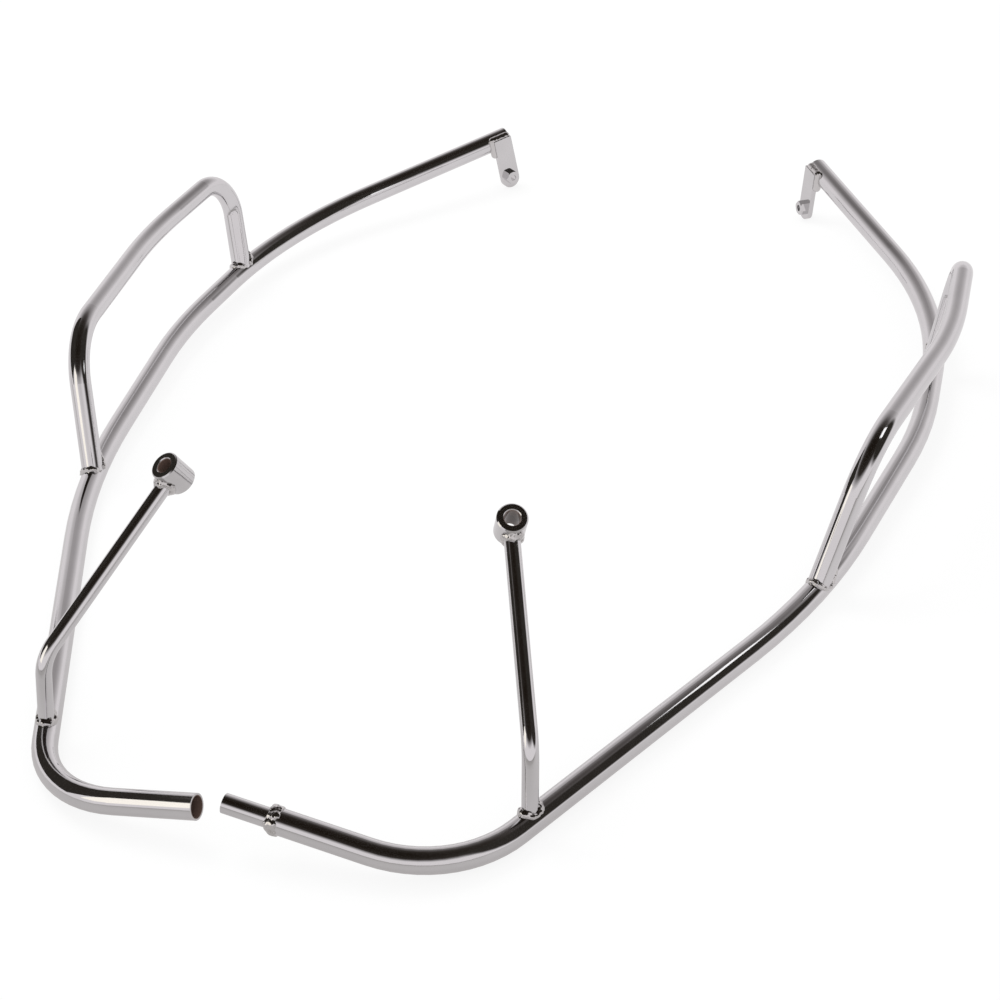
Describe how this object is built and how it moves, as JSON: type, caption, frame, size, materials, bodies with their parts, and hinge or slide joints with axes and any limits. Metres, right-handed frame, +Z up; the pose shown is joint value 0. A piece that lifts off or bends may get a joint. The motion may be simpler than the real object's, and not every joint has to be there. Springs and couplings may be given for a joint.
{
  "type": "scooter cowl guard",
  "caption": "Chromed tube guard for a scooter's rear cowls, in mirrored welded halves that plug together at the rear, with side hoops, rear stays with bolt bosses, and front tabs.",
  "frame": {"origin": "on the floor, under the middle of the layout's overall box; x = 0 is the mirror plane between the halves", "axes": "+Y to the scooter's front, +X to its right, +Z up"},
  "size_m": [0.6186, 0.8486, 0.1411],
  "materials": {
    "chromed_tube": "bright chrome plate on bent steel tube and rod",
    "chromed_fitting": "bright chrome plate on turned and cut steel",
    "chromed_weld": "chrome plate over rippled weld beads"
  },
  "bodies": {
    "root": {"right_main_tube": "chromed_tube", "right_hoop": "chromed_tube", "right_stay": "chromed_tube", "right_stay_boss": "chromed_fitting", "right_front_tab": "chromed_fitting", "right_tab_nut": "chromed_fitting", "right_hoop_rear_weld": "chromed_weld", "right_hoop_front_weld": "chromed_weld", "right_stay_weld": "chromed_weld", "right_boss_weld": "chromed_weld", "right_tab_weld": "chromed_weld", "left_main_tube": "chromed_tube", "left_hoop": "chromed_tube", "left_stay": "chromed_tube", "left_stay_boss": "chromed_fitting", "left_front_tab": "chromed_fitting", "left_tab_nut": "chromed_fitting", "left_hoop_rear_weld": "chromed_weld", "left_hoop_front_weld": "chromed_weld", "left_stay_weld": "chromed_weld", "left_boss_weld": "chromed_weld", "left_tab_weld": "chromed_weld", "joint_spigot": "chromed_tube", "spigot_weld": "chromed_weld"}
  },
  "joints": []
}
